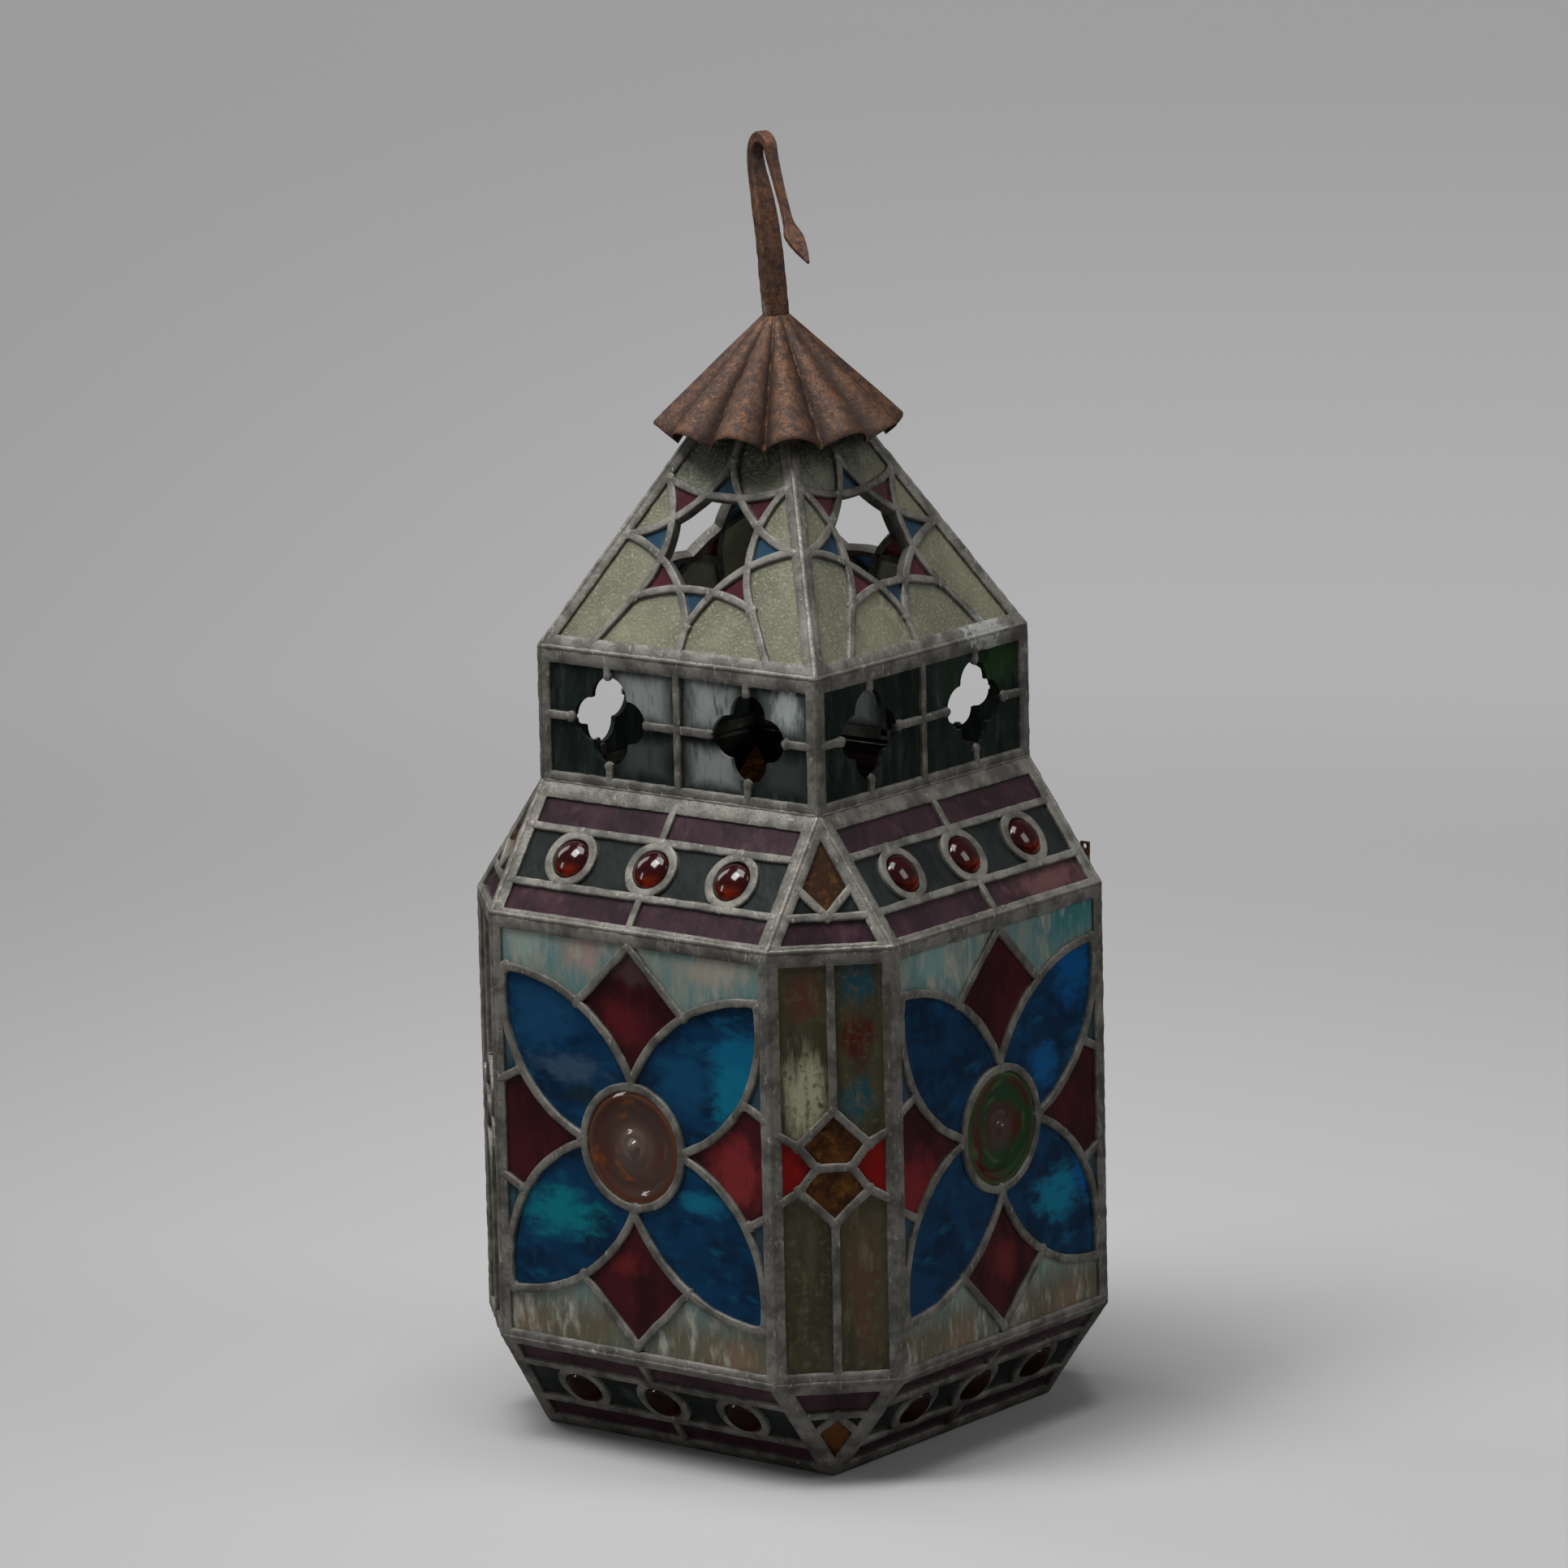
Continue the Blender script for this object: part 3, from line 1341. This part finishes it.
@dataclass
class ForgedHook:
    """The forged hook: a square shank drawn down to a pointed leaf.

    A station is the bar's middle across and up, its width and its thickness.
    """

    finish: bpy.types.Material
    turn: float = -25.0
    foot_z: float = 646.3
    scale: float = 104 / 103.5
    tenon_r: float = 4.0
    tenon_z: float = 600.7
    stations: Sequence[tuple[float, float, float, float]] = (
        (0, 0, 14.5, 8.5), (-3.5, 21, 14.5, 8.5), (-7, 41, 14, 8.2), (-13, 62, 12.5, 8),
        (-19.5, 80, 9.5, 7.6), (-21.3, 90, 8.4, 7.2), (-18.4, 97.1, 7.8, 7), (-11.3, 100, 7.6, 6.8),
        (-4.2, 97.1, 7, 6.4), (-1.2, 91, 6.4, 6), (3, 82, 5.6, 5.2), (12, 65, 4.8, 4.6),
        (18, 54, 6, 4.2), (24, 47, 11, 3.8), (33, 40, 7.5, 3), (41.5, 34, 1.2, 1.6),
    )

    def line(self, steps: int = 10) -> list[np.ndarray]:
        """Joins the stations by a smooth curve.

        Args:
            steps: points from one station to the next.

        Returns:
            The points, each as a station is.
        """
        path = [np.array(s, float) for s in self.stations]
        points = []
        for k in range(len(path) - 1):
            a, b = path[max(0, k - 1)], path[k]
            c, d = path[k + 1], path[min(len(path) - 1, k + 2)]
            for j in range(steps):
                t = j / steps
                bend = (2 * a - 5 * b + 4 * c - d) * t * t + (3 * b - a - 3 * c + d) * t ** 3
                points.append(0.5 * (2 * b + (c - a) * t + bend))
        return points + [path[-1]]

    def section(self, w: float, t: float) -> list[Flat]:
        """Gives the outline of the bar, its corners knocked off by the hammer.

        Args:
            w: half its width.
            t: half its thickness.

        Returns:
            The outline's points, across and through the bar.
        """
        cut = 0.28 * min(w, t)
        half = [(w, cut - t), (w, 0), (w, t - cut), (w - cut, t), (0, t), (cut - w, t)]
        return half + [(-side, -deep) for side, deep in half]

    def build(self) -> None:
        """Forges the bar and its round tenon."""
        spin = Matrix.Rotation(math.radians(self.turn), 3, "Z")
        points, rings = self.line(), []
        for i, here in enumerate(points):
            step = points[min(len(points) - 1, i + 1)] - points[max(0, i - 1)]
            along = np.array([0.0, 1.0]) if i == 0 else step[:2] / np.hypot(step[0], step[1])
            x, z = here[0] * self.scale, here[1] * self.scale
            middle = Vector((x, 0, z))
            ring = []
            for side, deep in self.section(here[2] / 2, here[3] / 2):
                spot = Vector((x - along[1] * deep, side, z + along[0] * deep))
                dent = 1 - 0.07 * abs(wander(spot, 7)) - 0.03 * abs(wander(spot, 2.5))
                spot = middle + (spot - middle) * dent
                ring.append(spin @ spot + Vector((0, 0, self.foot_z)))
            rings.append(ring)
        draft = MeshDraft()
        draft.loft(rings[::-1])
        draft.loft([ring_about_z(self.tenon_r, z, 24) for z in (self.tenon_z, 620.0, self.foot_z + 1.7)])
        piece = draft.build("forged_hook", [self.finish], 32)
        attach(piece, "hook")
        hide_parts("hook")
        LOG.info("hook")


# ---- studio ----


@dataclass
class Studio:
    """Camera, floor and lamps."""

    azimuth: float = HEADING
    elevation: float = 11.699
    roll: float = -1.274
    shift: Flat = (-9.49, 364.49)
    distance: float = 4965.0
    focal_px: float = 10442.5
    image_px: float = 1932.0
    room_glow: float = 0.2
    backdrop_glow: float = 0.68

    def axes(self) -> tuple[Vector, Vector, Vector]:
        """Works out how the camera is turned.

        Returns:
            Its right, up and back directions.
        """
        az, el, roll = (math.radians(a) for a in (self.azimuth, self.elevation, self.roll))
        back = Vector((math.sin(az) * math.cos(el), -math.cos(az) * math.cos(el), math.sin(el)))
        right = Vector((math.cos(az), math.sin(az), 0))
        up = back.cross(right)
        cos, sin = math.cos(roll), math.sin(roll)
        return right * cos + up * sin, up * cos - right * sin, back

    def camera(self) -> None:
        """Sets the camera off one corner, a little above the eaves."""
        right, up, back = self.axes()
        data = bpy.data.cameras.new("camera")
        data.sensor_width = 36.0
        data.lens = self.focal_px / self.image_px * 36.0
        data.clip_end = 50.0
        camera = bpy.data.objects.new("camera", data)
        bpy.context.collection.objects.link(camera)
        turn = Matrix((right, up, back)).transposed().to_4x4()
        place = back * self.distance + right * self.shift[0] + up * self.shift[1]
        camera.matrix_world = Matrix.Translation(place * MM) @ turn
        bpy.context.scene.camera = camera

    def floor(self, finish: bpy.types.Material) -> None:
        """Lays the floor as rings that widen away from the lantern.

        Args:
            finish: the floor's material.
        """
        draft, turns, radii = MeshDraft(), 48, (400.0, 1200.0, 3000.0, 8000.0, 22000.0)
        for r in radii:
            draft.verts += ring_about_z(r, 0, turns)
        draft.face(tuple(range(turns)))
        for i in range(len(radii) - 1):
            for j in range(turns):
                here, there = i * turns, (i + 1) * turns
                draft.face((here + j, there + j, there + (j + 1) % turns, here + (j + 1) % turns))
        draft.build("studio_floor", [finish])

    def lamp(
        self,
        name: str,
        azimuth: float,
        elevation: float,
        away: float,
        size: Flat,
        power: float,
        aim_z: float = 0.33,
    ) -> None:
        """Hangs one soft lamp that points at the lantern.

        Args:
            name: the lamp's name.
            azimuth: its direction from the axis in degrees, 0 being the front.
            elevation: its height in degrees.
            away: its distance in metres.
            size: its width and height in metres.
            power: its power in watts.
            aim_z: the height it points at in metres.
        """
        az, el = math.radians(azimuth), math.radians(elevation)
        back = Vector((math.sin(az) * math.cos(el), -math.cos(az) * math.cos(el), math.sin(el)))
        data = bpy.data.lights.new(name, "AREA")
        data.shape = "RECTANGLE"
        data.size, data.size_y = size
        data.energy = power
        lamp = bpy.data.objects.new(name, data)
        bpy.context.collection.objects.link(lamp)
        lamp.location = back * away + Vector((0, 0, aim_z))
        lamp.rotation_euler = back.to_track_quat("Z", "Y").to_euler()

    def build(self, ground: bpy.types.Material) -> None:
        """Sets the camera, the floor, the lamps and the world.

        Args:
            ground: the floor's material.
        """
        self.camera()
        self.floor(ground)
        self.lamp("key", -24, 62, 3.2, (1.3, 1.3), 66)
        self.lamp("fill", 112, 34, 3.4, (1.4, 1.6), 20)
        self.lamp("side", -88, 32, 3.4, (1.0, 1.8), 18)
        self.lamp("strip", -47, 9, 3.2, (0.35, 1.1), 7, 0.5)
        self.lamp("overhead", 20, 84, 3.0, (1.8, 1.8), 58)
        world = bpy.data.worlds.new("room")
        world.use_nodes = True
        sky = world.node_tree.nodes["Background"]
        sky.inputs["Color"].default_value = srgb("#bcbcbc")
        seen = add_node(world.node_tree, "ShaderNodeLightPath").outputs["Is Camera Ray"]
        limits = {"To Min": self.room_glow, "To Max": self.backdrop_glow}
        glow = add_node(world.node_tree, "ShaderNodeMapRange", limits, {"Value": seen})
        world.node_tree.links.new(glow.outputs[0], sky.inputs["Strength"])
        bpy.context.scene.world = world
        bpy.context.scene.view_settings.view_transform = "Standard"


# ---- dressing of the solids that stay ----


def dress_solids(
    frame: dict[str, Any], coats: dict[str, Sequence[str]], made: dict[str, bpy.types.Material]
) -> None:
    """Gives each solid that stays its finish.

    Args:
        coats: finish name to the nodes that take it.
        made: finish name to its material.
    """
    for finish, nodes in coats.items():
        for node in nodes:
            solid = frame["nodes"][node]
            solid.data.materials.clear()
            solid.data.materials.append(made[finish])
            LOG.info("%s in %s", node, finish)


def both_ways(patches: Sequence[Patch]) -> tuple[Patch, ...]:
    """Adds to patches the same ones half a turn round the lantern."""
    turned = (replace(patch, place=(-patch.place[0], -patch.place[1], patch.place[2])) for patch in patches)
    return (*patches, *turned)


UNDER_CAP = ((0, -40), (40, 0), (0, 40), (-40, 0))
OPAL_FOOT = ((-60, -150), (60, -150), (150, -60), (150, 60))
OPAL_STAINS = ((-84, -150), (70, -150), (150, 64), (150, -40))


def sheet_glasses() -> list[SheetGlass]:
    """Chooses the rolled and antique sheet glasses, each with the places where its colour changes.

    Returns:
        The glasses, not made yet.
    """
    wide = (26.0, 26.0, 30.0)
    petals = (
        Patch((74, -150, 233), (24, 24, 40), "#0f86a8"),
        Patch((-57, -150, 143), (40, 40, 20), "#0c8c9c"),
        Patch((49, -150, 161), (22, 22, 10), "#147c9e"),
        Patch((-46, -150, 228), (34, 26, 12), "#46617c"),
        Patch((-34, -150, 214), (24, 24, 8), "#1c3440"),
        Patch((78, -150, 252), (26, 24, 12), "#0e76a0"),
        Patch((-66, -150, 258), (40, 30, 26), "#1d557e"),
        Patch((38, -150, 232), (26, 24, 26), "#155a82"),
        Patch((150, 56, 138), (26, 30, 20), "#0f8cae"),
        Patch((150, 74, 268), (26, 24, 30), "#0c66ac"),
        Patch((150, 44, 216), (18, 18, 18), "#0f67a6"),
        Patch((150, 84, 150), (20, 18, 30), "#0d6ab4"),
    )
    diamonds = (
        Patch((70, -150, 183), wide, "#9a3438"),
        Patch((-6, -150, 260), (20, 20, 18), "#6f2327"),
        Patch((-8, -150, 118), (18, 18, 10), "#7c272a"),
        Patch((150, -82, 165), wide, "#902c31"),
        Patch((150, 4, 108), (16, 16, 18), "#7a2b2e"),
        Patch((2, -150, 292), (30, 30, 16), "#5a4043"),
    )
    opal = (
        Patch((-34, -150, 303), (18, 18, 26), "#b39c93"),
        Patch((-76, -150, 306), (28, 28, 24), "#a8bab2"),
        Patch((58, -150, 299), (34, 34, 18), "#aca898"),
        Patch((40, -150, 308), (16, 16, 10), "#7ba0a2"),
        Patch((150, -60, 300), (26, 26, 18), "#87aca9"),
        Patch((150, 70, 303), (44, 44, 26), "#458588"),
        *(Patch((x, y, 66), (90, 90, 40), "#6e6753", True) for x, y in OPAL_FOOT),
        *(Patch((x, y, 74), (22, 22, 14), "#84705c") for x, y in OPAL_STAINS),
    )
    lights = (
        Patch((114.4, -135.6, 228), (17, 17, 40), "#d3d1ae"),
        Patch((114.4, -135.6, 284), (13, 13, 18), "#75493a"),
        Patch((135.6, -114.4, 294), (13, 13, 18), "#2c5e6c"),
        Patch((135.6, -114.4, 262), (13, 13, 20), "#622a24"),
        Patch((135.6, -114.4, 226), (13, 13, 16), "#285f6c"),
        Patch((135.6, -114.4, 120), (14, 14, 60), "#6d5340"),
    )
    panes = (
        Patch((-25, -100, 437), (24, 24, 18), "#b4bab7", True),
        Patch((25, -100, 437), (24, 24, 18), "#b2b8b6", True),
        Patch((25, -100, 402), (24, 24, 15), "#a8aeac", True),
        Patch((75, -100, 437), (21, 24, 17), "#78827f", True),
        Patch((-25, -100, 402), (22, 24, 13), "#59615e", True),
        Patch((75, -100, 402), (20, 24, 13), "#4c5350", True),
        Patch((77, -100, 441), (13, 20, 16), "#d5dddc"),
        Patch((100, 74, 440), (12, 26, 16), "#34512e"),
        Patch((100, 30, 440), (12, 20, 16), "#2a3a2c"),
    )
    under_cap = tuple(Patch((x, y, 598), (70, 70, 56), "#3f433c") for x, y in UNDER_CAP)
    return [
        # granular rolled glass, olive grey: its seedy face scatters the light, so it looks like frost
        SheetGlass("roof_granite_glass", "#99997f", "#84856f", "#b0b092", Figure.GRANULAR, roughness=0.3,
                   speckle="#b9b99f", patches=under_cap),
        # antique glass, blown and flattened: small, dark and even in the star's points
        SheetGlass("star_blue_glass", "#3a5c74", "#2f4f66", "#4c7086", Figure.SMOOTH),
        # the same glass in wine red: its edges look nearly black beside the lead
        SheetGlass("star_red_glass", "#6f3c46", "#5f3039", "#83505a", Figure.SMOOTH),
        # bottle-green rolled glass: nearly black, and its wavy face mirrors the room in pale panes
        SheetGlass("neck_dark_glass", "#323b38", "#262e2b", "#4a5450", Figure.WAVY, 16, (1.6, 1.6, 0.45),
                   0.54, patches=both_ways(panes)),
        # manganese purple rolled glass: a dull plum with a soft, weathered gloss
        SheetGlass("purple_glass", "#4c323b", "#3b272e", "#694852", Figure.WAVY, 24, roughness=0.22,
                   patches=(Patch((146, 60, 322), (20, 44, 10), "#7d5654"),)),
        # dense green-black rolled glass: lets hardly any light through and shines only a little
        SheetGlass("black_glass", "#282f2c", "#1d2322", "#3a4641", Figure.WAVY, 24, clearness=0.35,
                   roughness=0.22),
        # cobalt antique glass: deep blue, with turquoise streaks where it was drawn thin
        SheetGlass("petal_blue_glass", "#0c426a", "#0a2f4e", "#125d84", Figure.WAVY, 26, (0.8, 0.8, 1.7),
                   0.54, patches=both_ways(petals)),
        # copper-red antique glass: maroon, and brighter red where the light finds it
        SheetGlass("maroon_glass", "#541d23", "#3c161b", "#6c282d", Figure.WAVY, 30, light_from=0.6,
                   patches=both_ways(diamonds)),
        # opalescent rolled glass: milky, with turquoise and pink drawn through it
        SheetGlass("opal_glass", "#8e9c93", "#6f9292", "#b4b5a8", Figure.WAVY, 20, (1.3, 1.3, 0.45),
                   0.52, clearness=0.3, roughness=0.15, patches=both_ways(opal)),
        # thin grey-blue antique glass: flat and quiet in the narrow slivers
        SheetGlass("sliver_glass", "#3e5a68", "#334c58", "#5d7f88", Figure.SMOOTH),
        # hammered cathedral glass, olive and brown: each dimple catches a spark of light
        SheetGlass("hammered_glass", "#5f5a44", "#4e4c38", "#827a5c", Figure.HAMMERED, 24, (1.6, 1.6, 0.4),
                   speckle="#6f6a52", patches=both_ways(lights)),
        # iron-amber hammered glass: mottled from honey to dark brown
        SheetGlass("amber_glass", "#6e431e", "#472a13", "#8d5c26", Figure.HAMMERED, 9, (1, 1, 1), 0.52,
                   patches=(Patch((115, -115, 348), (36, 36, 36), "#4a3324", True),)),
        # selenium red flashed glass: a thin bright skin of red, the clearest colour on the lantern
        SheetGlass("flash_red_glass", "#a3140f", "#7c100c", "#c8281a", Figure.SMOOTH),
    ]


def other_finishes() -> list[CastLead | RustedIron | SpunGlass | PressedJewel | StudioFloor]:
    """Chooses the leads, the irons, the spun and pressed glass and the floor.

    Returns:
        The finishes, not made yet.
    """
    crust = (Patch((102, 60, 463), (18, 22, 11), "#aeaeaa"), Patch((102, 66, 452), (16, 8, 12), "#a6a6a2"))
    hook_foot = Patch((-5, -5, 650), (6, 6, 6), "#7a766e")
    return [
        # drawn lead, oxidised: dull warm grey, with soft tool marks and a chalky crust at the eaves
        CastLead("came_lead", "#827f77", "#55534d", "#b0ab9f", 0.5, crust=crust),
        # tin-lead solder, run by hand: a little paler and smoother than the lead
        CastLead("solder", "#8b8780", "#65625b", "#c0bbb0", 0.42, 0.5, crust=crust),
        # sheet iron, pleated and rusted: velvet brown, with bare creases and dark valleys
        RustedIron("cap_rust", "#66452e", "#33211a", "#764921", "#8c6f54", 0.14, 12),
        # wrought iron, forged and rusted: the same brown, rubbed to grey on its edges
        RustedIron("hook_rust", "#65432d", "#36221a", "#86532a", "#877360", 0.15, crust=(hook_foot,)),
        # sheet iron kept dry inside: grey-brown, with little rust
        RustedIron("tray_iron", "#4e4742", "#3b3632", "#69503f", "#736d68", 0.08),
        # spun crown glass, brown: rings drawn round a pale nib, and a bright amber rim
        SpunGlass("brown_rondel_glass", "#7c6a60", "#55423a", "#5c3a32", "#8a5230"),
        # spun crown glass, red and green drawn through each other
        SpunGlass("green_rondel_glass", "#5c4640", "#2a4a2c", "#54261f", "#4f6a38"),
        # pressed ruby glass: black-red in the thick of its dome, orange where it thins
        PressedJewel("jewel_red_glass", "#2c0403", "#8e2808"),
        # the same glass in the shade of the skirt: darker, with a dull red edge
        PressedJewel("jewel_dark_glass", "#1c0403", "#4c1208"),
        # matt painted floor: plain grey that takes a soft shadow
        StudioFloor("studio_floor", "#b4b4b4", "#9e9e9e", "#9b9b9b", "#3c3c3c", HEADING),
    ]


def make_finishes() -> dict[str, bpy.types.Material]:
    """Makes every finish of the lantern.

    Returns:
        Each finish's name to its material.
    """
    made = {finish.name: finish.build() for finish in sheet_glasses() + other_finishes()}
    LOG.info("%d finishes", len(made))
    return made


COATS = {
    "roof_granite_glass": ("roof_clear_glass",),
    "star_blue_glass": ("roof_blue_glass",),
    "star_red_glass": ("roof_red_glass",),
    "neck_dark_glass": ("neck_glass",),
    "purple_glass": ("band_purple_glass", "corner_purple_glass"),
    "black_glass": ("band_dark_glass", "corner_dark_glass"),
    "petal_blue_glass": ("body_petals", "door_petals"),
    "maroon_glass": ("body_diamonds", "door_diamonds"),
    "opal_glass": ("body_corner_glass", "door_corner_glass"),
    "sliver_glass": ("body_slivers", "door_slivers"),
    "hammered_glass": ("corner_lights",),
    "amber_glass": ("corner_amber_glass",),
    "flash_red_glass": ("corner_red_glass",),
    "tray_iron": ("roof_crossbar", "cap_spacer", "hook_washer", "base_tray", "drip_pan", "candle_cup"),
    "hook_rust": ("hinge_knuckles", "hinge_pin", "door_knuckles", "latch_bracket", "latch_button"),
}


def main() -> None:
    """Builds the lantern's looks in order."""
    logging.basicConfig(level=logging.INFO, format="%(message)s")
    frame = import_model()
    made = make_finishes()
    Studio().build(made["studio_floor"])
    shell = LanternShell(finishes=(made["came_lead"], made["solder"]))
    shell.build()
    brown, green = made["brown_rondel_glass"], made["green_rondel_glass"]
    Rondel(shell, {Side.FRONT: brown, Side.RIGHT: green, Side.BACK: brown, Side.LEFT: green}).build()
    JewelRow(shell, "shoulder", shell.shoulder, shell.shoulder_rows, made["jewel_red_glass"]).build()
    JewelRow(shell, "skirt", shell.skirt, shell.skirt_rows, made["jewel_dark_glass"]).build()
    PleatedCap(made["cap_rust"]).build()
    ForgedHook(made["hook_rust"]).build()
    dress_solids(frame, COATS, made)


if __name__ == "__main__":
    main()
